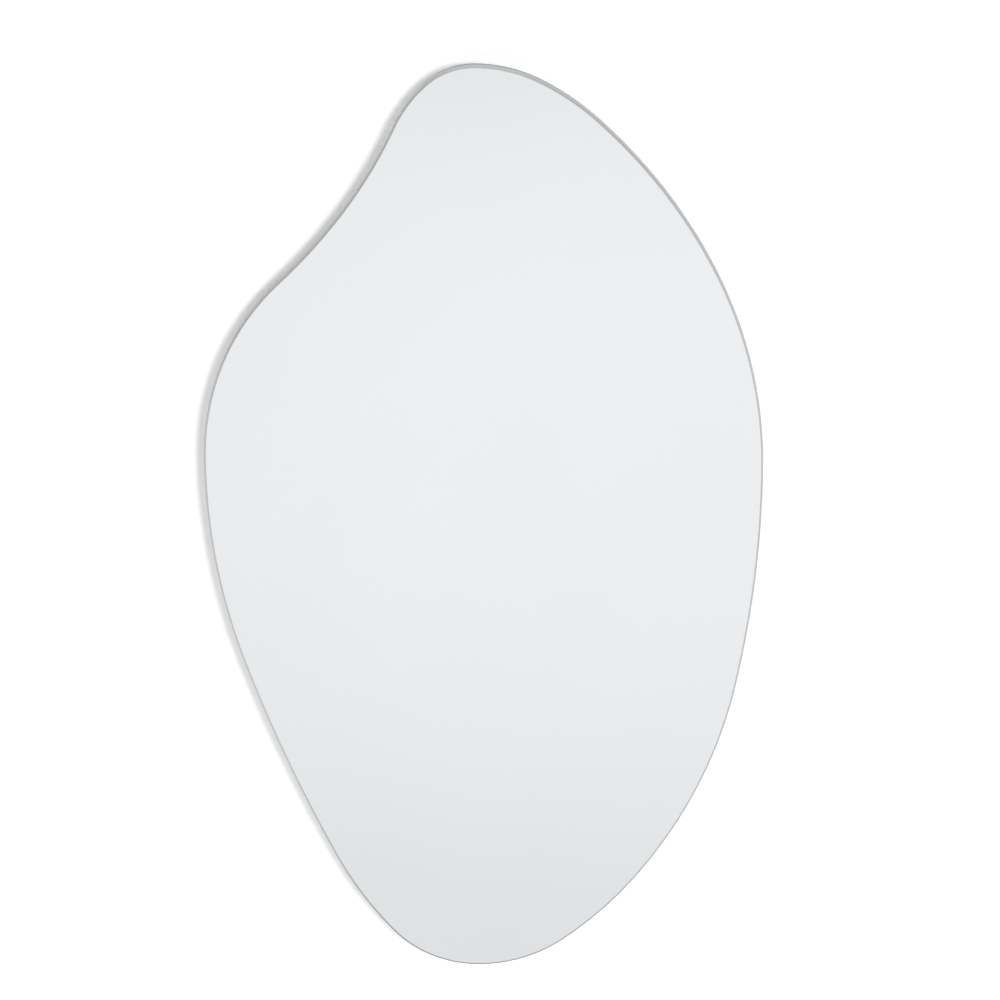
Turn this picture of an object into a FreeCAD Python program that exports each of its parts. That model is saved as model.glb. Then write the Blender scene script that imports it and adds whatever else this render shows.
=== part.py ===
import FreeCAD, Part
import math
import os

# Frameless wall mirror of irregular, egg-like outline with one lobe drawn up at the upper left.
# A sheet of silvered float glass with a flat polished edge is glued to a smaller fibreboard back,
# which carries two let-in keyhole hanger plates and four soft bumpers against the wall.
#
# Frame, in millimetres: +X to the viewer's right, +Z up, and the mirror looks along -Y.
# The origin is midway between the entry holes of the two hanger plates, in the plane of the
# board's back, so the wall lies on the +Y side, one bumper thickness away.

# Outline of the glass: the rectangle that just holds it, and its key points measured in from the
# sides of that rectangle. The outline touches the rectangle at top, right, bottom and left. A
# heading is the way the edge runs at a point between those, going clockwise as seen from the
# front: 0 is to the right, 90 is up.
SHEET_WIDTH = 345.0
SHEET_HEIGHT = 600.0
TOP_FROM_LEFT = 167.0
SHOULDER_FROM_RIGHT = 103.0
SHOULDER_FROM_TOP = 34.5
SHOULDER_HEADING = -43.0
RIGHT_FROM_TOP = 261.5
HEEL_FROM_RIGHT = 79.5
HEEL_FROM_BOTTOM = 58.0
HEEL_HEADING = -129.5
BOTTOM_FROM_RIGHT = 176.0
FLANK_FROM_LEFT = 80.0
FLANK_FROM_BOTTOM = 75.0
FLANK_HEADING = 117.0
LEFT_FROM_BOTTOM = 346.0
NECK_FROM_LEFT = 46.5
NECK_FROM_TOP = 140.0
NECK_HEADING = 44.5
LOBE_FROM_LEFT = 117.5
LOBE_FROM_TOP = 39.5
LOBE_HEADING = 66.0

# Glass and what is laid on its back
GLASS_THICKNESS = 6.0
FRONT_ARRIS = 1.1
REAR_ARRIS = 0.5
SILVER_THICKNESS = 0.1
PAINT_THICKNESS = 0.1
FILM_THICKNESS = 0.2
FILM_MARGIN = 2.0

# Glue line between the film and the board
GLUE_LINE = 1.5
GLUE_MARGIN = 14.0
BEAD_COUNT = 5
BEAD_WIDTH = 10.0
TAPE_WIDTH = 12.0
TAPE_LENGTH = 110.0

# Board
BOARD_THICKNESS = 12.0
BOARD_INSET = 20.0
BOARD_CHAMFER = 2.0

# Keyhole hanger plates: an entry hole and a slot that rises from it to the seat
PLATE_LENGTH = 52.0
PLATE_WIDTH = 17.0
PLATE_THICKNESS = 2.0
ENTRY_RADIUS = 5.0
SLOT_WIDTH = 5.0
SLOT_RISE = 9.0
PLATE_FIT = 0.2
HEAD_ROOM = 1.2
HEAD_DEPTH = 6.0

# Where the plates sit: how far their entry holes are below the top of the outline and apart, and
# how far the middle between them is to the right of the middle of the outline
HANG_DROP = 160.0
HANG_SPACING = 150.0
HANG_OFFSET = 5.5

# Countersunk screws that hold the plates
SCREW_PITCH = 37.0
SCREW_HEAD_RADIUS = 3.4
SCREW_RADIUS = 1.6
SCREW_LENGTH = 10.0
SCREW_POINT = 2.5
SCREW_FIT = 0.05
RECESS_SPAN = 3.6
RECESS_WIDTH = 0.8
RECESS_DEPTH = 1.0

# Bumpers
BUMPER_RADIUS = 6.0
BUMPER_THICKNESS = 3.0
BUMPER_CHAMFER = 0.6
BUMPER_MARGIN = 14.0

# Depths of the layers, from the board's back forward
BOARD_FRONT = -BOARD_THICKNESS
FILM_BACK = BOARD_FRONT - GLUE_LINE
PAINT_BACK = FILM_BACK - FILM_THICKNESS
SILVER_BACK = PAINT_BACK - PAINT_THICKNESS
GLASS_BACK = SILVER_BACK - SILVER_THICKNESS
GLASS_FRONT = GLASS_BACK - GLASS_THICKNESS

# Sides of the outline in the frame
SHEET_LEFT = -HANG_OFFSET - SHEET_WIDTH / 2
SHEET_RIGHT = SHEET_LEFT + SHEET_WIDTH
SHEET_TOP = HANG_DROP
SHEET_BOTTOM = SHEET_TOP - SHEET_HEIGHT

# How closely an edge must keep to a plane to count as lying in it
PLANE_TOLERANCE = 1e-6


def point(x, z, y=0.0):
    return FreeCAD.Vector(x, y, z)


def key_points():
    """The outline's key points and headings in the frame, clockwise from the top of the lobe."""
    keys = {
        "top": (SHEET_LEFT + TOP_FROM_LEFT, SHEET_TOP, 0.0),
        "shoulder": (SHEET_RIGHT - SHOULDER_FROM_RIGHT, SHEET_TOP - SHOULDER_FROM_TOP, SHOULDER_HEADING),
        "right": (SHEET_RIGHT, SHEET_TOP - RIGHT_FROM_TOP, -90.0),
        "heel": (SHEET_RIGHT - HEEL_FROM_RIGHT, SHEET_BOTTOM + HEEL_FROM_BOTTOM, HEEL_HEADING),
        "bottom": (SHEET_RIGHT - BOTTOM_FROM_RIGHT, SHEET_BOTTOM, 180.0),
        "flank": (SHEET_LEFT + FLANK_FROM_LEFT, SHEET_BOTTOM + FLANK_FROM_BOTTOM, FLANK_HEADING),
        "left": (SHEET_LEFT, SHEET_BOTTOM + LEFT_FROM_BOTTOM, 90.0),
        "neck": (SHEET_LEFT + NECK_FROM_LEFT, SHEET_TOP - NECK_FROM_TOP, NECK_HEADING),
        "lobe": (SHEET_LEFT + LOBE_FROM_LEFT, SHEET_TOP - LOBE_FROM_TOP, LOBE_HEADING),
    }
    return {name: (point(x, z), math.radians(heading)) for name, (x, z, heading) in keys.items()}


def tangent(heading):
    return point(math.cos(heading), math.sin(heading))


def arc_from(start, heading, end):
    """The arc that leaves start along heading and ends at end, and its heading there."""
    chord = end - start
    half_turn = math.atan2(chord.z, chord.x) - heading
    half_turn = math.atan2(math.sin(half_turn), math.cos(half_turn))
    sagitta = chord.Length / 2 * math.tan(half_turn / 2)
    outward = tangent(heading + half_turn - math.pi / 2)
    middle = (start + end) / 2 + outward * sagitta
    return Part.Arc(start, middle, end).toShape(), heading + 2 * half_turn


def joined_arcs(start, start_heading, end, end_heading):
    """Two arcs, tangent to each other, from one key point and heading to the next."""
    t_start = tangent(start_heading)
    t_end = tangent(end_heading)
    chord = end - start
    along = chord.dot(t_start + t_end)
    spread = 2 * (1 - t_start.dot(t_end))
    reach = (math.sqrt(along ** 2 + spread * chord.dot(chord)) - along) / spread
    joint = (start + t_start * reach + end - t_end * reach) / 2
    first, heading = arc_from(start, start_heading, joint)
    second, heading = arc_from(joint, heading, end)
    return [first, second]


def sheet_face(inset):
    """A face of the glass outline, drawn in by inset, in the plane y = 0."""
    keys = list(key_points().values())
    edges = []
    for (start, h_start), (end, h_end) in zip(keys, keys[1:] + keys[:1]):
        edges += joined_arcs(start, h_start, end, h_end)
    face = Part.Face(Part.Wire(edges))
    if inset > 0:
        face = Part.Face(face.OuterWire.makeOffset2D(-inset))
    return face


def sheet(inset, front, back):
    """A plate of the outline between two depths."""
    face = sheet_face(inset)
    face.translate(point(0, 0, front))
    return face.extrude(point(0, 0, back - front))


def rim_edges(solid, depth):
    """The edges of a solid that lie wholly in the plane y = depth."""
    def off_plane(edge):
        return max(abs(edge.BoundBox.YMin - depth), abs(edge.BoundBox.YMax - depth))

    return [edge for edge in solid.Edges if off_plane(edge) < PLANE_TOLERANCE]


def rod(x, z, radius, front, back):
    return Part.makeCylinder(radius, back - front, point(x, z, front), point(0, 0, 1))


def slot(z_low, z_high, radius, front, back, x=0.0):
    """An upright bar with round ends, their centres at z_low and z_high."""
    web = Part.makeBox(2 * radius, back - front, z_high - z_low, point(x - radius, z_low, front))
    ends = [rod(x, z, radius, front, back) for z in (z_low, z_high)]
    return web.fuse(ends).removeSplitter()


def make_glass():
    glass = sheet(0, GLASS_FRONT, GLASS_BACK)
    glass = glass.makeChamfer(FRONT_ARRIS, rim_edges(glass, GLASS_FRONT))
    return glass.makeChamfer(REAR_ARRIS, rim_edges(glass, GLASS_BACK))


def make_backing_layers():
    """Reflective coat, paint and film, which reach the flat of the glass's back."""
    return {
        "silver_coat": sheet(REAR_ARRIS, GLASS_BACK, SILVER_BACK),
        "backing_paint": sheet(REAR_ARRIS, SILVER_BACK, PAINT_BACK),
        "safety_film": sheet(FILM_MARGIN, PAINT_BACK, FILM_BACK),
    }


def glue_column(face, x):
    """Lowest and highest point of the glued area on the upright line through x."""
    box = face.BoundBox
    line = Part.makeLine(point(x, box.ZMin), point(x, box.ZMax))
    column = line.common(face).BoundBox
    return column.ZMin, column.ZMax


def make_glue():
    """Beads of mirror adhesive, and strips of foam tape between them that hold while it sets."""
    area = sheet_face(BOARD_INSET + GLUE_MARGIN)
    pitch = area.BoundBox.XLength / BEAD_COUNT
    radius = BEAD_WIDTH / 2
    nodes = {}
    for i in range(BEAD_COUNT):
        x = area.BoundBox.XMin + pitch * (i + 0.5)
        low, high = glue_column(area, x)
        bead = slot(low + radius, high - radius, radius, FILM_BACK, BOARD_FRONT, x)
        nodes[f"adhesive_bead_{i + 1}"] = bead
    for i in range(1, BEAD_COUNT):
        x = area.BoundBox.XMin + pitch * i
        low, high = glue_column(area, x)
        corner = point(x - TAPE_WIDTH / 2, (low + high - TAPE_LENGTH) / 2, FILM_BACK)
        nodes[f"foam_tape_{i}"] = Part.makeBox(TAPE_WIDTH, GLUE_LINE, TAPE_LENGTH, corner)
    return nodes


def hangers():
    """Name and x of each hanger plate's entry hole."""
    return {"left": -HANG_SPACING / 2, "right": HANG_SPACING / 2}


def at_hanger(shape, x):
    """A hanger's shape, made with its entry hole at the origin, put in place."""
    shape = shape.copy()
    shape.translate(point(x, 0))
    return shape


def screw_heights():
    middle = SLOT_RISE / 2
    return [middle - SCREW_PITCH / 2, middle + SCREW_PITCH / 2]


def countersunk(z, shank, length, tip):
    """A round body with a countersunk head flush with the board's back, sunk forward into it."""
    profile = [
        point(0, z, 0),
        point(SCREW_HEAD_RADIUS, z, 0),
        point(shank, z, shank - SCREW_HEAD_RADIUS),
        point(shank, z, tip - length),
        point(0, z, -length),
    ]
    face = Part.Face(Part.makePolygon(profile + profile[:1]))
    return face.revolve(point(0, z), point(0, 0, 1), 360)


def screw(z):
    return countersunk(z, SCREW_RADIUS, SCREW_LENGTH, SCREW_POINT)


def screw_hole(z):
    return countersunk(z, SCREW_RADIUS + SCREW_FIT, SCREW_LENGTH + SCREW_FIT, 0)


def make_screws():
    """The two screws of a plate, each with a cross recess."""
    screws = []
    for z in screw_heights():
        body = screw(z)
        for span, width in ((RECESS_SPAN, RECESS_WIDTH), (RECESS_WIDTH, RECESS_SPAN)):
            corner = point(-span / 2, z - width / 2, -RECESS_DEPTH)
            body = body.cut(Part.makeBox(span, RECESS_DEPTH, width, corner))
        screws.append(body)
    return Part.makeCompound(screws)


def plate_blank(fit, depth):
    """The outline of a hanger plate, swollen by fit, from the board's back forward to depth."""
    radius = PLATE_WIDTH / 2 + fit
    half_run = (PLATE_LENGTH - PLATE_WIDTH) / 2
    middle = SLOT_RISE / 2
    return slot(middle - half_run, middle + half_run, radius, -depth, 0)


def make_plate():
    plate = plate_blank(0, PLATE_THICKNESS)
    plate = plate.cut(rod(0, 0, ENTRY_RADIUS, -PLATE_THICKNESS, 0))
    plate = plate.cut(slot(0, SLOT_RISE, SLOT_WIDTH / 2, -PLATE_THICKNESS, 0))
    for z in screw_heights():
        plate = plate.cut(screw(z))
    return plate.removeSplitter()


def hanger_pocket():
    """What is cut from the board for one hanger: the plate's seat, room for the head, screw holes."""
    head = slot(0, SLOT_RISE, ENTRY_RADIUS + HEAD_ROOM, -PLATE_THICKNESS - HEAD_DEPTH, 0)
    holes = [screw_hole(z) for z in screw_heights()]
    return plate_blank(PLATE_FIT, PLATE_THICKNESS).fuse([head] + holes)


def make_board():
    board = sheet(BOARD_INSET, BOARD_FRONT, 0)
    board = board.makeChamfer(BOARD_CHAMFER, rim_edges(board, 0))
    for x in hangers().values():
        board = board.cut(at_hanger(hanger_pocket(), x))
    return board


def make_bumpers():
    """Round pads stuck on the board's back, a fixed way in from four of the outline's key points."""
    nodes = {}
    keys = key_points()
    for name in ("shoulder", "heel", "flank", "left"):
        at, heading = keys[name]
        centre = at + tangent(heading - math.pi / 2) * (BOARD_INSET + BUMPER_MARGIN)
        pad = rod(centre.x, centre.z, BUMPER_RADIUS, 0, BUMPER_THICKNESS)
        nodes[f"bumper_{name}"] = pad.makeChamfer(BUMPER_CHAMFER, rim_edges(pad, BUMPER_THICKNESS))
    return nodes


def make_nodes():
    nodes = {"mirror_glass": make_glass(), "backing_board": make_board()}
    nodes.update(make_backing_layers())
    nodes.update(make_glue())
    plate = make_plate()
    screws = make_screws()
    for name, x in hangers().items():
        nodes[f"hanger_plate_{name}"] = at_hanger(plate, x)
        nodes[f"hanger_screws_{name}"] = at_hanger(screws, x)
    nodes.update(make_bumpers())
    return nodes


os.makedirs("parts", exist_ok=True)
for name, shape in make_nodes().items():
    shape.exportStep(f"parts/{name}.step")
    box = shape.BoundBox
    print(f"{name}: {len(shape.Solids)} solid(s), {shape.Volume / 1000:.2f} cm3, "
          f"{box.XLength:.1f} x {box.YLength:.1f} x {box.ZLength:.1f} mm")
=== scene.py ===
import math
import bpy
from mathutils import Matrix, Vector


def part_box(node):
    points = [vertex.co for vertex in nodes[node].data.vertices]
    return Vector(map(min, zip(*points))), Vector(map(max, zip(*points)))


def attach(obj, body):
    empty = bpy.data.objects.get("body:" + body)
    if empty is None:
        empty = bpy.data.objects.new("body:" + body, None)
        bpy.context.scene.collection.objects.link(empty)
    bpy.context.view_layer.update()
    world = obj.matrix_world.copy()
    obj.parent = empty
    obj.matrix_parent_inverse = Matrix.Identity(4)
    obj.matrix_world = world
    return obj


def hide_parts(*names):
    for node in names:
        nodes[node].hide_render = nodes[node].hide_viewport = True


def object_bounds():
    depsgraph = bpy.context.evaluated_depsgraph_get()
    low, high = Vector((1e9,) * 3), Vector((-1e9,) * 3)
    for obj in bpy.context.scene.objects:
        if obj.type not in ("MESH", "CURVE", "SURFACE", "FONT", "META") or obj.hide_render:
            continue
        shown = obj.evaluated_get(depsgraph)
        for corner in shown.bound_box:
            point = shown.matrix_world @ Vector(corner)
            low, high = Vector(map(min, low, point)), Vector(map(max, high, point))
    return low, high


# Looks of a frameless wall mirror of irregular outline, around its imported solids.
# Everything is in metres, in the solids' own frame: +X to the viewer's right, +Z up, and the mirror
# looks along -Y, away from a wall on the +Y side. Angles are in degrees. Azimuth 0 is straight ahead
# of the mirror, 90 is to the viewer's right and 180 is behind the mirror.

MM = 0.001

# Camera of the photograph, which looks down on the mirror from straight ahead
PICTURE_PIXELS = 1000
FOCAL_PIXELS = 8082
SENSOR_MILLIMETRES = 36.0
CAMERA_ELEVATION = 22.0
CAMERA_DISTANCE = 5.0
CAMERA_REACH = 100.0
AIM_RIGHT = 10.1 * MM
AIM_UP = 15.9 * MM

# Stage. A glow is the brightness that a surface adds where it is looked at.
FLOOR_DROP = 160 * MM
STAGE_REACH = 20.0
WALL_COLOUR = 0.90
WALL_GLOW = 0.193
FLOOR_COLOUR = 0.80
FLOOR_GLOW = 0.186

# Floor as gloss shows it: a pool of light ahead of the mirror and some shade right under it
POOL_RIGHT = 0.08
POOL_AHEAD = 1.36
POOL_RADIUS = 2.05
POOL_NARROWING = 2.0
POOL_EDGE = 3.0
POOL_LEAST = 0.92
SHADE_RIGHT = -0.04
SHADE_BEHIND = 0.06
SHADE_RADIUS = 0.42
SHADE_LEAST = 0.0

# Key lamp. At a strength of 1 a white surface that faces it renders white.
KEY_STRENGTH = 0.553
KEY_AZIMUTH = 15.5
KEY_ELEVATION = 18.5
KEY_SPREAD = 12.5

# Card low at the left, with its power in watts
CARD_POWER = 0.36
CARD_PLACE = (-0.36, -0.30, -0.56)
CARD_AIM = (-0.12, 0.0, -0.30)
CARD_SIZE = 0.20

# World: an even level, and how much brighter it is high up behind the mirror
AMBIENT = 0.25
BACK_STRENGTH = 1.4
BACK_AZIMUTH = 190.0
BACK_ELEVATION = 48.0
BACK_SPREAD = 75.0

# World as gloss shows it. Heights are those of a direction of length 1, and a flag is a dark card.
HORIZON = 1.0
CEILING = 0.6
CEILING_RISE = 0.5
OVERHEAD = 0.35
OVERHEAD_START = 0.6
FLAG = 0.50
FLAG_AZIMUTH = -81.0
FLAG_ELEVATION = -3.0
FLAG_SPREAD = 36.0

# Glass rim, from the front: ground arris, polished flat, dark band at its rear, rear arris
FRONT_ARRIS = 1.1 * MM
REAR_BAND = 1.6 * MM
REAR_ARRIS = 0.5 * MM
CORNER_RADIUS = 0.15 * MM
CORNER_STEPS = 3
OUTLINE_STEP = 1.5 * MM

# A corner that would be cut back by less than this is no corner
LEAST_CUT = 1e-6 * MM

# Bumper pads, from the rim to the middle
PAD_SEGMENTS = 96
PAD_EDGE_RADIUS = 0.9 * MM
PAD_EDGE_STEPS = 8
PAD_DISH_RADIUS = 3.6 * MM
PAD_DISH_DEPTH = 0.35 * MM
PAD_DISH_MIDDLE = 0.3 * MM
PAD_DISH_STEPS = 8

# A face of a solid lies on its front or back when it is this near and its normal points that much
# forward or back. A pocket reaches this far beyond the plate in it.
SURFACE_DEPTH = 0.05 * MM
FACING = 0.9
POCKET_MARGIN = 1.0 * MM

# Screws: points nearer than this are one, and edges sharper than this stay sharp
TIP_GAP = 0.001 * MM
SHARP_ANGLE = 30.0

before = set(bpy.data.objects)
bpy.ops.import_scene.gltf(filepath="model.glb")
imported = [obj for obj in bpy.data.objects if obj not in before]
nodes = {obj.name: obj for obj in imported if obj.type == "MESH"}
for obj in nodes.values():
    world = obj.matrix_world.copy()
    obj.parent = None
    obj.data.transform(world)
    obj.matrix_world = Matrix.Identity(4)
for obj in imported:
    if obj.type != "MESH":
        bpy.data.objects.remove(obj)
cad_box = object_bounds()


def add_object(name, data):
    """Puts a mesh, lamp or camera into the scene."""
    made = bpy.data.objects.new(name, data)
    bpy.context.scene.collection.objects.link(made)
    return made


# Node helpers

class Wiring:
    """Short ways to add nodes to a tree."""

    def __init__(self, tree):
        self.tree = tree

    def node(self, kind, **settings):
        made = self.tree.nodes.new(kind)
        for key, value in settings.items():
            setattr(made, key, value)
        return made

    def link(self, source, target):
        self.tree.links.new(source, target)

    def fill(self, socket, value):
        """Gives a socket a link, a colour or a number."""
        if hasattr(value, "is_output"):
            self.link(value, socket)
        elif isinstance(value, tuple):
            socket.default_value = (*value, 1.0)
        else:
            socket.default_value = value

    def maths(self, operation, first, second=0.0):
        made = self.node("ShaderNodeMath", operation=operation)
        self.fill(made.inputs[0], first)
        self.fill(made.inputs[1], second)
        return made.outputs[0]

    def mixed(self, factor, first, second, blend="MIX"):
        made = self.node("ShaderNodeMix", data_type="RGBA", blend_type=blend)
        self.fill(made.inputs[0], factor)
        self.fill(made.inputs[6], first)
        self.fill(made.inputs[7], second)
        return made.outputs[2]

    def spread(self, source, low, high, source_low=0.3, source_high=0.7, kind="LINEAR"):
        """A value that runs from low to high as source runs over its own range."""
        made = self.node("ShaderNodeMapRange", interpolation_type=kind)
        self.link(source, made.inputs["Value"])
        made.inputs["From Min"].default_value = source_low
        made.inputs["From Max"].default_value = source_high
        made.inputs["To Min"].default_value = low
        made.inputs["To Max"].default_value = high
        return made.outputs["Result"]

    def seen_directly(self):
        """1 for rays from the camera, a mirror or glass, and 0 for those that only carry light."""
        path = self.node("ShaderNodeLightPath")
        seen = self.maths("MAXIMUM", path.outputs["Is Camera Ray"], path.outputs["Is Glossy Ray"])
        return self.maths("MAXIMUM", seen, path.outputs["Is Transmission Ray"])

    def in_gloss(self):
        """1 for rays that a glossy surface has sent on, and 0 for others."""
        return self.node("ShaderNodeLightPath").outputs["Is Glossy Ray"]


class Recipe(Wiring):
    """A material whose patterns lie in the solids' own coordinates, in metres."""

    def __init__(self, name):
        self.material = bpy.data.materials.new(name)
        self.material.use_nodes = True
        super().__init__(self.material.node_tree)
        self.shader = self.tree.nodes["Principled BSDF"]
        self.place = self.node("ShaderNodeTexCoord").outputs["Object"]

    def set(self, **values):
        """Sets sockets of the main shader; an underscore in a name stands for a blank."""
        for key, value in values.items():
            self.fill(self.shader.inputs[key.replace("_", " ")], value)

    def stretched(self, x=1.0, y=1.0, z=1.0):
        mapping = self.node("ShaderNodeMapping")
        self.link(self.place, mapping.inputs["Vector"])
        mapping.inputs["Scale"].default_value = (x, y, z)
        return mapping.outputs["Vector"]

    def noise(self, feature, detail=2.0, roughness=0.5, distortion=0.0, place=None):
        """Noise whose blobs are about one feature long."""
        made = self.node("ShaderNodeTexNoise")
        self.link(place or self.place, made.inputs["Vector"])
        made.inputs["Scale"].default_value = 1.0 / feature
        made.inputs["Detail"].default_value = detail
        made.inputs["Roughness"].default_value = roughness
        made.inputs["Distortion"].default_value = distortion
        return made.outputs["Fac"]

    def cells(self, feature):
        """Distance from the middle of the nearest of many cells, each about one feature wide."""
        made = self.node("ShaderNodeTexVoronoi")
        self.link(self.place, made.inputs["Vector"])
        made.inputs["Scale"].default_value = 1.0 / feature
        return made.outputs["Distance"]

    def bands(self, direction, width, distortion):
        """Soft waves across one direction."""
        made = self.node("ShaderNodeTexWave", wave_type="BANDS", bands_direction=direction)
        self.link(self.place, made.inputs["Vector"])
        made.inputs["Scale"].default_value = 1.0 / width
        made.inputs["Distortion"].default_value = distortion
        return made.outputs["Fac"]

    def shades(self, source, *stops):
        """A colour ramp; each stop is (position, (red, green, blue))."""
        made = self.node("ShaderNodeValToRGB")
        ramp = made.color_ramp
        while len(ramp.elements) < len(stops):
            ramp.elements.new(1.0)
        for element, (position, colour) in zip(ramp.elements, stops):
            element.position = position
            element.color = (*colour, 1.0)
        self.link(source, made.inputs["Fac"])
        return made.outputs["Color"]

    def away_from(self, place, point):
        """Distance of a place from a point."""
        made = self.node("ShaderNodeVectorMath", operation="DISTANCE")
        self.link(place, made.inputs[0])
        made.inputs[1].default_value = point
        return made.outputs["Value"]

    def bump(self, height, depth):
        made = self.node("ShaderNodeBump")
        made.inputs["Strength"].default_value = 1.0
        made.inputs["Distance"].default_value = depth
        self.link(height, made.inputs["Height"])
        self.link(made.outputs["Normal"], self.shader.inputs["Normal"])


# Materials of the glass

def mirror_face():
    """Silvering under clear float glass, both in the front face of the sheet."""
    recipe = Recipe("mirror_face")
    drift = recipe.noise(90 * MM, detail=1.0)
    colour = recipe.shades(drift, (0.3, (0.829, 0.846, 0.864)), (0.7, (0.837, 0.854, 0.872)))
    recipe.set(Base_Color=colour, Metallic=1.0, Roughness=recipe.spread(drift, 0.0, 0.004))
    recipe.set(Coat_Weight=1.0, Coat_IOR=1.52, Coat_Roughness=0.0)
    return recipe.material


def ground_arris():
    """Glass ground matt: a grey-green frost with the fine scratches of the wheel."""
    recipe = Recipe("ground_arris")
    frost = recipe.noise(0.9 * MM, detail=4.0, roughness=0.65)
    tone = recipe.shades(frost, (0.25, (0.50, 0.517, 0.525)), (0.75, (0.60, 0.617, 0.625)))
    recipe.set(Base_Color=tone, Metallic=0.65, Roughness=recipe.spread(frost, 0.34, 0.46), IOR=1.52)
    recipe.bump(recipe.noise(0.35 * MM, detail=2.0), 0.02 * MM)
    return recipe.material


def polished_flat():
    """The flat of the edge, polished clear: pale grey-green, with long soft streaks."""
    recipe = Recipe("polished_flat")
    streaks = recipe.noise(14 * MM, detail=3.0, distortion=0.4, place=recipe.stretched(y=12.0))
    tone = recipe.shades(streaks, (0.3, (0.425, 0.443, 0.447)), (0.7, (0.505, 0.523, 0.527)))
    recipe.set(Base_Color=tone, Roughness=recipe.spread(streaks, 0.06, 0.12), IOR=1.52)
    recipe.set(Specular_IOR_Level=0.3)
    return recipe.material


def rear_band():
    """The rear of the flat, where the glass shows the edge of the coats behind it."""
    recipe = Recipe("rear_band")
    streaks = recipe.noise(9 * MM, detail=3.0, place=recipe.stretched(y=8.0))
    tone = recipe.shades(streaks, (0.3, (0.12, 0.13, 0.132)), (0.7, (0.18, 0.19, 0.192)))
    recipe.set(Base_Color=tone, Roughness=recipe.spread(streaks, 0.08, 0.16), IOR=1.52)
    recipe.set(Specular_IOR_Level=0.3)
    return recipe.material


# Materials of the coats, film, glue and tape

def silver():
    """The reflective coat from behind, faintly mottled."""
    recipe = Recipe("silver_coat")
    mottle = recipe.noise(6 * MM, detail=3.0)
    tone = recipe.shades(mottle, (0.3, (0.86, 0.87, 0.87)), (0.7, (0.92, 0.93, 0.93)))
    recipe.set(Base_Color=tone, Metallic=1.0, Roughness=recipe.spread(mottle, 0.08, 0.16))
    return recipe.material


def backing_paint():
    """Dark grey paint with a fine orange peel."""
    recipe = Recipe("backing_paint")
    peel = recipe.noise(1.6 * MM, detail=3.0)
    cloud = recipe.noise(30 * MM, detail=3.0)
    tone = recipe.shades(cloud, (0.3, (0.085, 0.10, 0.105)), (0.7, (0.11, 0.126, 0.13)))
    recipe.set(Base_Color=tone, Roughness=recipe.spread(peel, 0.42, 0.58))
    recipe.bump(peel, 0.03 * MM)
    return recipe.material


def safety_film():
    """Satin grey-white film with a fine cross weave under it and a few trapped air marks."""
    recipe = Recipe("safety_film")
    warp = recipe.bands("X", 10 * MM, 0.3)
    weft = recipe.bands("Z", 10 * MM, 0.3)
    weave = recipe.spread(recipe.maths("MAXIMUM", warp, weft), 0.0, 1.0, 0.75, 1.0)
    cloud = recipe.noise(45 * MM, detail=3.0)
    pale = recipe.shades(cloud, (0.3, (0.50, 0.53, 0.55)), (0.7, (0.57, 0.595, 0.61)))
    tone = recipe.mixed(recipe.maths("MULTIPLY", weave, 0.3), pale, (0.66, 0.68, 0.69))
    blisters = recipe.spread(recipe.cells(38 * MM), 1.0, 0.0, 0.0, 0.09)
    recipe.set(Base_Color=tone, Roughness=recipe.spread(cloud, 0.34, 0.46))
    recipe.bump(recipe.maths("ADD", weave, blisters), 0.08 * MM)
    return recipe.material


def adhesive():
    """Cured glue, cream with soft swirls."""
    recipe = Recipe("adhesive")
    swirl = recipe.noise(5 * MM, detail=3.0, distortion=1.5)
    tone = recipe.shades(swirl, (0.3, (0.66, 0.64, 0.58)), (0.7, (0.74, 0.725, 0.67)))
    recipe.set(Base_Color=tone, Roughness=recipe.spread(swirl, 0.3, 0.45))
    recipe.bump(swirl, 0.2 * MM)
    return recipe.material


def foam_tape():
    """White foam, darker round its fine bubbles."""
    recipe = Recipe("foam_tape")
    bubbles = recipe.cells(0.5 * MM)
    tone = recipe.shades(bubbles, (0.1, (0.86, 0.86, 0.84)), (0.6, (0.74, 0.74, 0.72)))
    recipe.set(Base_Color=tone, Roughness=0.8)
    recipe.bump(bubbles, 0.1 * MM)
    return recipe.material


# Materials of the board

def scaled(colour, factor):
    """A colour made darker or brighter."""
    return tuple(factor * c for c in colour)


def fibre_tone(recipe, pale, dark):
    """Felted wood fibre: soft mottling, short fibres lying every way, and a few dark specks."""
    mottle = recipe.noise(28 * MM, detail=4.0, roughness=0.6)
    lying = recipe.noise(0.9 * MM, detail=3.0, place=recipe.stretched(x=0.28, z=1.0))
    standing = recipe.noise(0.9 * MM, detail=3.0, place=recipe.stretched(x=1.0, z=0.28))
    fibres = recipe.maths("MULTIPLY", recipe.maths("ADD", lying, standing), 0.5)
    mean = tuple((a + b) / 2 for a, b in zip(pale, dark))
    tone = recipe.shades(fibres, (0.36, dark), (0.5, mean), (0.64, pale))
    tone = recipe.mixed(recipe.spread(mottle, 0.0, 0.35), tone, scaled(mean, 0.82))
    specks = recipe.spread(recipe.cells(5.5 * MM), 0.6, 0.0, 0.03, 0.11)
    return recipe.mixed(specks, tone, scaled(dark, 0.45)), fibres


def board_face():
    """The sanded skin of the fibreboard."""
    recipe = Recipe("board_face")
    tone, fibres = fibre_tone(recipe, (0.53, 0.375, 0.235), (0.42, 0.285, 0.17))
    recipe.set(Base_Color=tone, Roughness=recipe.spread(fibres, 0.62, 0.78))
    recipe.bump(fibres, 0.05 * MM)
    return recipe.material


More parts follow.
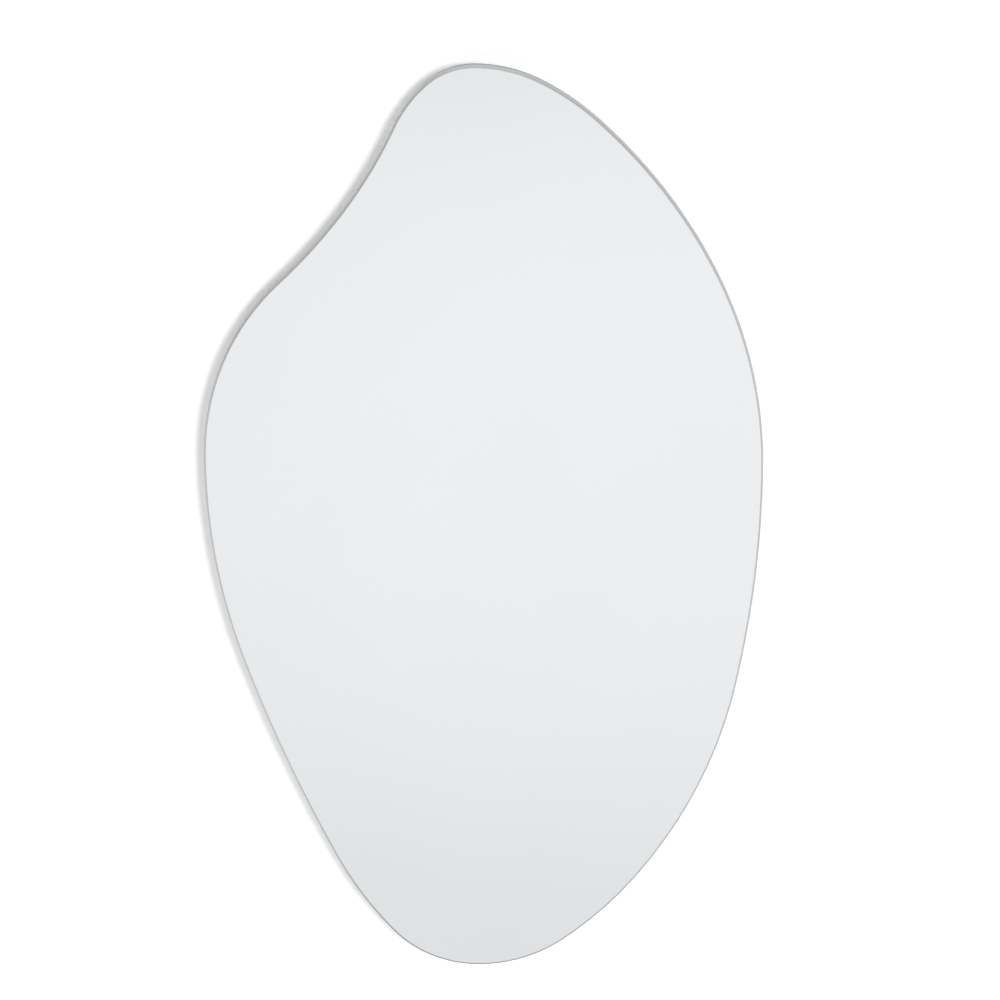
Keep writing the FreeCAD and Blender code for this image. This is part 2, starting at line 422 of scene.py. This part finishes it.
def board_edge():
    """The sawn edge: dense dark skins, a paler core, and the marks of the cutter."""
    recipe = Recipe("board_edge")
    low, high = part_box("backing_board")
    axes = recipe.node("ShaderNodeSeparateXYZ")
    recipe.link(recipe.place, axes.inputs["Vector"])
    depth = recipe.spread(axes.outputs["Y"], 0.0, 1.0, low.y, high.y)
    wander = recipe.noise(3 * MM, detail=3.0, place=recipe.stretched(y=2.5))
    depth = recipe.maths("ADD", depth, recipe.spread(wander, -0.05, 0.05))
    skin, core = (0.27, 0.17, 0.095), (0.40, 0.27, 0.16)
    tone = recipe.shades(depth, (0.0, skin), (0.2, core), (0.8, core), (1.0, skin))
    fuzz = recipe.noise(0.8 * MM, detail=4.0, roughness=0.7)
    tone = recipe.mixed(recipe.spread(fuzz, 0.0, 0.5), tone, (0.20, 0.125, 0.07))
    recipe.set(Base_Color=tone, Roughness=0.85)
    recipe.bump(fuzz, 0.15 * MM)
    return recipe.material


def routed_pocket():
    """Where the cutter has gone in: rougher, darker and fuzzy."""
    recipe = Recipe("routed_pocket")
    tone, fibres = fibre_tone(recipe, (0.36, 0.24, 0.14), (0.25, 0.16, 0.09))
    recipe.set(Base_Color=tone, Roughness=0.88)
    recipe.bump(fibres, 0.18 * MM)
    return recipe.material


# Materials of the fittings

def zinc_plate():
    """Bright zinc on stamped steel: drawn lines along the strip, a cloudy passivated film."""
    recipe = Recipe("zinc_plate")
    drawn = recipe.noise(0.35 * MM, detail=3.0, place=recipe.stretched(z=0.03))
    cloud = recipe.noise(7 * MM, detail=4.0, distortion=0.8)
    blue, grey, straw = (0.36, 0.37, 0.385), (0.43, 0.435, 0.435), (0.47, 0.465, 0.45)
    film = recipe.shades(cloud, (0.3, blue), (0.52, grey), (0.7, straw))
    tone = recipe.mixed(recipe.spread(drawn, 0.0, 0.4), film, (0.22, 0.225, 0.235))
    roughness = recipe.maths("ADD", recipe.spread(drawn, 0.22, 0.34), recipe.spread(cloud, -0.04, 0.06))
    recipe.set(Base_Color=tone, Metallic=1.0, Roughness=roughness)
    recipe.bump(drawn, 0.01 * MM)
    return recipe.material


def zinc_screw():
    """The head of a screw, in bright clouded zinc."""
    recipe = Recipe("zinc_screw")
    cloud = recipe.noise(1.8 * MM, detail=3.0)
    tone = recipe.shades(cloud, (0.3, (0.52, 0.52, 0.525)), (0.7, (0.66, 0.655, 0.635)))
    recipe.set(Base_Color=tone, Metallic=1.0, Roughness=recipe.spread(cloud, 0.18, 0.32))
    recipe.bump(recipe.noise(0.5 * MM, detail=2.0), 0.01 * MM)
    return recipe.material


def painted_shade_recess():
    """The cross recess and the shank, dark and dull: painted shade on the zinc, mottled."""
    recipe = Recipe("painted_shade_recess")
    # Mottle in the painted shade of the recess and the shank
    shade_mottle = recipe.noise(0.8 * MM, detail=3.0)
    tone = recipe.shades(shade_mottle, (0.3, (0.09, 0.09, 0.088)), (0.7, (0.17, 0.17, 0.165)))
    recipe.set(Base_Color=tone, Metallic=0.7, Roughness=recipe.spread(shade_mottle, 0.45, 0.6))
    return recipe.material


def soft_rubber():
    """Black rubber with a fine grain and a faint bloom."""
    recipe = Recipe("soft_rubber")
    grain = recipe.noise(0.5 * MM, detail=3.0)
    bloom = recipe.noise(4 * MM, detail=2.0)
    tone = recipe.shades(bloom, (0.3, (0.022, 0.022, 0.024)), (0.7, (0.042, 0.041, 0.042)))
    recipe.set(Base_Color=tone, Roughness=recipe.spread(grain, 0.55, 0.72))
    recipe.bump(grain, 0.03 * MM)
    return recipe.material


# Outline of the glass

def outline_keys():
    """Key points of the glass outline, clockwise from the top as seen from the front: x, z, heading."""
    low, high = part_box("mirror_glass")
    left, right, bottom, top = low.x, high.x, low.z, high.z
    return [
        (left + 167.0 * MM, top, 0.0),
        (right - 103.0 * MM, top - 34.5 * MM, -43.0),
        (right, top - 261.5 * MM, -90.0),
        (right - 79.5 * MM, bottom + 58.0 * MM, -129.5),
        (right - 176.0 * MM, bottom, 180.0),
        (left + 80.0 * MM, bottom + 75.0 * MM, 117.0),
        (left, bottom + 346.0 * MM, 90.0),
        (left + 46.5 * MM, top - 140.0 * MM, 44.5),
        (left + 117.5 * MM, top - 39.5 * MM, 66.0),
    ]


def direction(heading):
    """Unit vector along a heading in radians."""
    return Vector((math.cos(heading), math.sin(heading)))


def arc_points(start, heading, end):
    """Points along the arc that leaves start along heading and ends at end, without its end, each
    with its outward normal; and the heading at the end. The arc isn't a straight line."""
    chord = end - start
    half_turn = math.atan2(chord.y, chord.x) - heading
    half_turn = math.atan2(math.sin(half_turn), math.cos(half_turn))
    diameter = chord.length / math.sin(half_turn)
    count = max(2, round(diameter * half_turn / OUTLINE_STEP))
    points = []
    for i in range(count):
        part_turn = half_turn * i / count
        point = start + direction(heading + part_turn) * diameter * math.sin(part_turn)
        points.append((point, direction(heading + 2 * part_turn + math.pi / 2)))
    return points, heading + 2 * half_turn


def outline_points():
    """The whole outline as (point, outward normal), two tangent arcs from key point to key point."""
    keys = [(Vector((x, z)), math.radians(heading)) for x, z, heading in outline_keys()]
    points = []
    for (start, h_start), (end, h_end) in zip(keys, keys[1:] + keys[:1]):
        t_start, t_end = direction(h_start), direction(h_end)
        chord = end - start
        along = chord.dot(t_start + t_end)
        spread = 2 * (1 - t_start.dot(t_end))
        reach = (math.sqrt(along ** 2 + spread * chord.dot(chord)) - along) / spread
        joint = (start + t_start * reach + end - t_end * reach) / 2
        first, heading = arc_points(start, h_start, joint)
        second, heading = arc_points(joint, heading, end)
        points += first + second
    return points


# Pieces made here

def skin(name, rings, bands, caps, materials, flat=()):
    """A closed skin over rings of points, which rides on the mirror. The rings run clockwise as seen
    from the front, the foremost first. bands gives the material between each ring and the next, and
    caps those inside the first and the last. Materials in flat are shaded flat."""
    count = len(rings[0])
    faces = []
    indices = []
    for row, band in enumerate(bands):
        a, b = row * count, (row + 1) * count
        for i in range(count):
            j = (i + 1) % count
            faces.append((a + i, a + j, b + j, b + i))
            indices.append(band)
    last = len(bands) * count
    faces.append(tuple(reversed(range(count))))
    faces.append(tuple(range(last, last + count)))
    indices += caps
    mesh = bpy.data.meshes.new(name)
    mesh.from_pydata([point for ring in rings for point in ring], [], faces)
    for material in materials:
        mesh.materials.append(material)
    for polygon, index in zip(mesh.polygons, indices):
        polygon.material_index = index
        polygon.use_smooth = index not in flat
    mesh.validate()
    made = add_object(name, mesh)
    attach(made, "root")
    return made


def eased(corners):
    """A profile of (across, depth, material) corners with its inner corners rounded off."""
    profile = [corners[0]]
    for before, here, after in zip(corners, corners[1:], corners[2:]):
        p = Vector(here[:2])
        into = (p - Vector(before[:2])).normalized()
        out = (Vector(after[:2]) - p).normalized()
        cut = CORNER_RADIUS * math.tan(into.angle(out) / 2)
        if cut < LEAST_CUT:
            profile.append(here)
            continue
        a, b = p - into * cut, p + out * cut
        for i in range(CORNER_STEPS + 1):
            t = i / CORNER_STEPS
            q = a * (1 - t) ** 2 + p * 2 * t * (1 - t) + b * t ** 2
            profile.append((q.x, q.y, before[2] if t < 0.5 else here[2]))
    profile.append(corners[-1])
    return profile


FACE, ARRIS, FLAT, BAND, BACK = range(5)


def rim_profile():
    """The glass rim from the front face to the back. Each corner has the material that follows it."""
    low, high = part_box("mirror_glass")
    front, back = low.y, high.y
    return eased([
        (-FRONT_ARRIS - CORNER_RADIUS, front, ARRIS),
        (-FRONT_ARRIS, front, ARRIS),
        (0.0, front + FRONT_ARRIS, FLAT),
        (0.0, back - REAR_ARRIS - REAR_BAND, BAND),
        (0.0, back - REAR_ARRIS, ARRIS),
        (-REAR_ARRIS, back, BACK),
        (-REAR_ARRIS - CORNER_RADIUS, back, BACK),
    ])


def glass_sheet():
    """The silvered sheet, with its rim in rings from the front face to the back."""
    profile = rim_profile()
    outline = outline_points()
    rings = []
    for across, depth, _ in profile:
        rings.append([(p.x + n.x * across, depth, p.y + n.y * across) for p, n in outline])
    bands = [material for _, _, material in profile[:-1]]
    materials = [mirror_face(), ground_arris(), polished_flat(), rear_band(), silver()]
    made = skin("glass_sheet", rings, bands, (FACE, BACK), materials, flat=(FACE, BACK))
    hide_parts("mirror_glass")


def pad_profile(radius, base, face):
    """A pad's (radius, depth), from its base over the rounded rim to the middle of its dish."""
    profile = [(radius, base)]
    for i in range(PAD_EDGE_STEPS + 1):
        turn = math.pi / 2 * i / PAD_EDGE_STEPS
        inward = PAD_EDGE_RADIUS * (1 - math.cos(turn))
        profile.append((radius - inward, face - PAD_EDGE_RADIUS * (1 - math.sin(turn))))
    for i in range(1, PAD_DISH_STEPS + 1):
        t = i / PAD_DISH_STEPS
        reach = PAD_DISH_RADIUS * (1 - t) + PAD_DISH_MIDDLE * t
        dip = PAD_DISH_DEPTH * (1 - math.cos(math.pi * t)) / 2
        profile.append((reach, face - dip))
    return profile


def circle(middle, radius, depth):
    """A ring of points round a middle, clockwise as seen from the front."""
    points = []
    for k in range(PAD_SEGMENTS):
        turn = -2 * math.pi * k / PAD_SEGMENTS
        points.append((middle.x + radius * math.cos(turn), depth, middle.z + radius * math.sin(turn)))
    return points


def bumper_pad(node, material):
    """A turned rubber pad with a rounded rim and a shallow dish in its face."""
    low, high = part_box(node)
    middle = (low + high) / 2
    profile = pad_profile((high.x - low.x) / 2, low.y, high.y)
    rings = [circle(middle, radius, depth) for radius, depth in profile]
    made = skin(node + "_pad", rings, [0] * (len(rings) - 1), (0, 0), [material])
    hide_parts(node)


# Finishes of the solids that stay

def family(start):
    """Names of the nodes that start alike."""
    return sorted(name for name in nodes if name.startswith(start))


def dress(node, *materials):
    """Gives a solid its materials."""
    mesh = nodes[node].data
    mesh.materials.clear()
    for material in materials:
        mesh.materials.append(material)


def over(at, box, margin):
    """Whether a point lies within a box and a margin round it, as seen from behind."""
    low, high = box
    beside = low.x - margin < at.x < high.x + margin
    return beside and low.z - margin < at.z < high.z + margin


SKIN, SAWN, ROUTED = range(3)


def dress_board():
    """Skin on the two faces, routed wood inside the pockets, and sawn edge elsewhere."""
    dress("backing_board", board_face(), board_edge(), routed_pocket())
    low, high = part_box("backing_board")
    plates = [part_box(name) for name in family("hanger_plate")]
    for polygon in nodes["backing_board"].data.polygons:
        at = polygon.center
        depth = min(abs(at.y - low.y), abs(at.y - high.y))
        on_face = depth < SURFACE_DEPTH and abs(polygon.normal.y) > FACING
        in_pocket = any(over(at, plate, POCKET_MARGIN) for plate in plates)
        polygon.material_index = SKIN if on_face else ROUTED if in_pocket else SAWN


HEAD, DEEPER = range(2)


def dress_screws(node, head, deeper):
    """One material on the faces of the heads, and another, with painted shade, on all that lies deeper.
    """
    dress(node, head, deeper)
    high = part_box(node)[1]
    for polygon in nodes[node].data.polygons:
        on_head = high.y - polygon.center.y < SURFACE_DEPTH
        polygon.material_index = HEAD if on_head else DEEPER


def join_tips(node):
    """The mesh of a screw has two points in one place at its tip, with a face of no size between
    them. They are joined, and sharp edges are kept sharp."""
    weld = nodes[node].modifiers.new("one_tip", "WELD")
    weld.merge_threshold = TIP_GAP
    split = nodes[node].modifiers.new("sharp_edges", "EDGE_SPLIT")
    split.split_angle = math.radians(SHARP_ANGLE)


def dress_solids():
    """Finishes of all the solids that no piece here replaces."""
    dress("silver_coat", silver())
    dress("backing_paint", backing_paint())
    dress("safety_film", safety_film())
    dress_board()
    for start, material in (
        ("adhesive_bead", adhesive()),
        ("foam_tape", foam_tape()),
        ("hanger_plate", zinc_plate()),
    ):
        for name in family(start):
            dress(name, material)
    # The deeper faces of the screws get painted shade
    head, deeper = zinc_screw(), painted_shade_recess()
    for name in family("hanger_screws"):
        dress_screws(name, head, deeper)
        join_tips(name)


# Stage

def floor_level(recipe):
    """A grey over the floor: a soft pool of light ahead of the mirror and a little shade right
    under it."""
    pool_middle = (POOL_RIGHT * POOL_NARROWING, -POOL_AHEAD, 0.0)
    away = recipe.away_from(recipe.stretched(x=POOL_NARROWING), pool_middle)
    share = recipe.maths("DIVIDE", away, POOL_RADIUS)
    fall = recipe.maths("MULTIPLY", recipe.maths("POWER", share, POOL_EDGE), -1.0)
    pool = recipe.maths("MAXIMUM", recipe.maths("POWER", math.e, fall), POOL_LEAST)
    away = recipe.away_from(recipe.place, (SHADE_RIGHT, SHADE_BEHIND, 0.0))
    shade = recipe.spread(away, SHADE_LEAST, 1.0, 0.0, SHADE_RADIUS)
    return recipe.maths("MULTIPLY", pool, shade)


def stage_material(name, grey, glow, level=None):
    """A matt grey that adds its glow where it is looked at, and isn't there at all from behind.
    level, where given, takes the recipe and gives a brightness over the surface, which only gloss
    shows."""
    recipe = Recipe(name)
    output = recipe.tree.nodes["Material Output"]
    recipe.tree.nodes.remove(recipe.shader)
    diffuse = recipe.node("ShaderNodeBsdfDiffuse")
    light = recipe.node("ShaderNodeEmission")
    colour = (grey, grey, grey)
    brightness = (1.0, 1.0, 1.0)
    if level is not None:
        brightness = recipe.mixed(recipe.in_gloss(), brightness, level(recipe))
        colour = recipe.mixed(1.0, brightness, colour, "MULTIPLY")
    recipe.fill(diffuse.inputs["Color"], colour)
    recipe.fill(light.inputs["Color"], brightness)
    recipe.link(recipe.maths("MULTIPLY", recipe.seen_directly(), glow), light.inputs["Strength"])
    both = recipe.node("ShaderNodeAddShader")
    recipe.link(diffuse.outputs[0], both.inputs[0])
    recipe.link(light.outputs[0], both.inputs[1])
    side = recipe.node("ShaderNodeMixShader")
    recipe.link(recipe.node("ShaderNodeNewGeometry").outputs["Backfacing"], side.inputs[0])
    recipe.link(both.outputs[0], side.inputs[1])
    recipe.link(recipe.node("ShaderNodeBsdfTransparent").outputs[0], side.inputs[2])
    recipe.link(side.outputs[0], output.inputs["Surface"])
    return recipe.material


def plane(name, corners, material):
    """A flat piece of the stage."""
    mesh = bpy.data.meshes.new(name)
    mesh.from_pydata(corners, [], [(0, 1, 2, 3)])
    mesh.materials.append(material)
    made = add_object(name, mesh)
    return made


def make_stage():
    """A floor, and a wall right behind the mirror that only the camera sees."""
    low, high = cad_box
    ground = low.z - FLOOR_DROP
    r = STAGE_REACH
    corners = [(-r, high.y, ground), (r, high.y, ground), (r, high.y, r), (-r, high.y, r)]
    wall = plane("wall", corners, stage_material("wall_white", WALL_COLOUR, WALL_GLOW))
    wall.visible_diffuse = False
    wall.visible_glossy = False
    wall.visible_transmission = False
    wall.visible_shadow = False
    corners = [(-r, -r, 0.0), (r, -r, 0.0), (r, r, 0.0), (-r, r, 0.0)]
    white_floor = stage_material("floor_white", FLOOR_COLOUR, FLOOR_GLOW, floor_level)
    floor = plane("floor", corners, white_floor)
    floor.location.z = ground


# Light

def towards(azimuth, elevation):
    """Unit vector from the mirror towards that azimuth and elevation."""
    a, e = math.radians(azimuth), math.radians(elevation)
    return Vector((math.sin(a) * math.cos(e), -math.cos(a) * math.cos(e), math.sin(e)))


def shine_from(lamp, where):
    """Turns a lamp so that its light comes from that direction."""
    lamp.rotation_euler = where.to_track_quat("Z", "Y").to_euler()
    lamp.visible_glossy = False


def key_lamp():
    """A far lamp, as wide as its spread when seen from the mirror."""
    light = bpy.data.lights.new("key", "SUN")
    light.angle = math.radians(KEY_SPREAD)
    light.energy = KEY_STRENGTH * math.pi
    shine_from(add_object("key", light), towards(KEY_AZIMUTH, KEY_ELEVATION))


def bounce_card():
    """A small card that throws light up at the mirror's lower left edge."""
    light = bpy.data.lights.new("card", "AREA")
    light.size = CARD_SIZE
    light.energy = CARD_POWER
    made = add_object("card", light)
    made.location = CARD_PLACE
    made.visible_camera = False
    shine_from(made, Vector(CARD_PLACE) - Vector(CARD_AIM))


def lobe(wiring, looking, azimuth, elevation, spread, low, high):
    """A value that is high in one direction and eases to low at spread degrees away from it."""
    nearness = wiring.node("ShaderNodeVectorMath", operation="DOT_PRODUCT")
    wiring.link(looking, nearness.inputs[0])
    nearness.inputs[1].default_value = towards(azimuth, elevation)
    edge = math.cos(math.radians(spread))
    return wiring.spread(nearness.outputs["Value"], low, high, edge, 1.0, "SMOOTHSTEP")


def reflected_room(wiring, looking):
    """What gloss shows of the room: darker above the horizon, paler again overhead, and with a flag
    far off at the left."""
    axes = wiring.node("ShaderNodeSeparateXYZ")
    wiring.link(looking, axes.inputs["Vector"])
    height = axes.outputs["Z"]
    ceiling = wiring.spread(height, HORIZON, CEILING, 0.0, CEILING_RISE, "SMOOTHSTEP")
    overhead = wiring.spread(height, 0.0, OVERHEAD, OVERHEAD_START, 1.0, "SMOOTHSTEP")
    flag = lobe(wiring, looking, FLAG_AZIMUTH, FLAG_ELEVATION, FLAG_SPREAD, 1.0, FLAG)
    return wiring.maths("MULTIPLY", wiring.maths("ADD", ceiling, overhead), flag)


def background(wiring, strength):
    """White light of a strength that another node gives."""
    made = wiring.node("ShaderNodeBackground")
    made.inputs["Color"].default_value = (1.0, 1.0, 1.0, 1.0)
    wiring.link(strength, made.inputs["Strength"])
    return made.outputs[0]


def make_world():
    """An even light that is stronger from high up behind. The world itself looks white to the
    camera, and gloss shows the room."""
    world = bpy.data.worlds.new("studio")
    bpy.context.scene.world = world
    world.use_nodes = True
    wiring = Wiring(world.node_tree)
    looking = wiring.node("ShaderNodeTexCoord").outputs["Generated"]
    most = AMBIENT + BACK_STRENGTH
    level = lobe(wiring, looking, BACK_AZIMUTH, BACK_ELEVATION, BACK_SPREAD, AMBIENT, most)
    shown = wiring.node("ShaderNodeMix")
    wiring.link(wiring.in_gloss(), shown.inputs["Factor"])
    shown.inputs["A"].default_value = 1.0
    wiring.link(reflected_room(wiring, looking), shown.inputs["B"])
    choice = wiring.node("ShaderNodeMixShader")
    wiring.link(wiring.seen_directly(), choice.inputs[0])
    wiring.link(background(wiring, level), choice.inputs[1])
    wiring.link(background(wiring, shown.outputs["Result"]), choice.inputs[2])
    wiring.link(choice.outputs[0], wiring.tree.nodes["World Output"].inputs["Surface"])


# Camera

def make_camera():
    """The photograph's camera."""
    data = bpy.data.cameras.new("camera")
    data.sensor_width = SENSOR_MILLIMETRES
    data.lens = FOCAL_PIXELS / PICTURE_PIXELS * SENSOR_MILLIMETRES
    data.clip_end = CAMERA_REACH
    made = add_object("camera", data)
    low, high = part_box("mirror_glass")
    middle = Vector(((low.x + high.x) / 2, low.y, (low.z + high.z) / 2))
    out = towards(0.0, CAMERA_ELEVATION)
    turn = out.to_track_quat("Z", "Y")
    aim = middle + turn @ Vector((AIM_RIGHT, AIM_UP, 0.0))
    made.location = aim + out * CAMERA_DISTANCE
    made.rotation_euler = turn.to_euler()
    bpy.context.scene.camera = made


glass_sheet()
rubber = soft_rubber()
for bumper in family("bumper"):
    bumper_pad(bumper, rubber)
dress_solids()
make_stage()
make_world()
key_lamp()
bounce_card()
make_camera()
bpy.context.scene.view_settings.view_transform = "Standard"
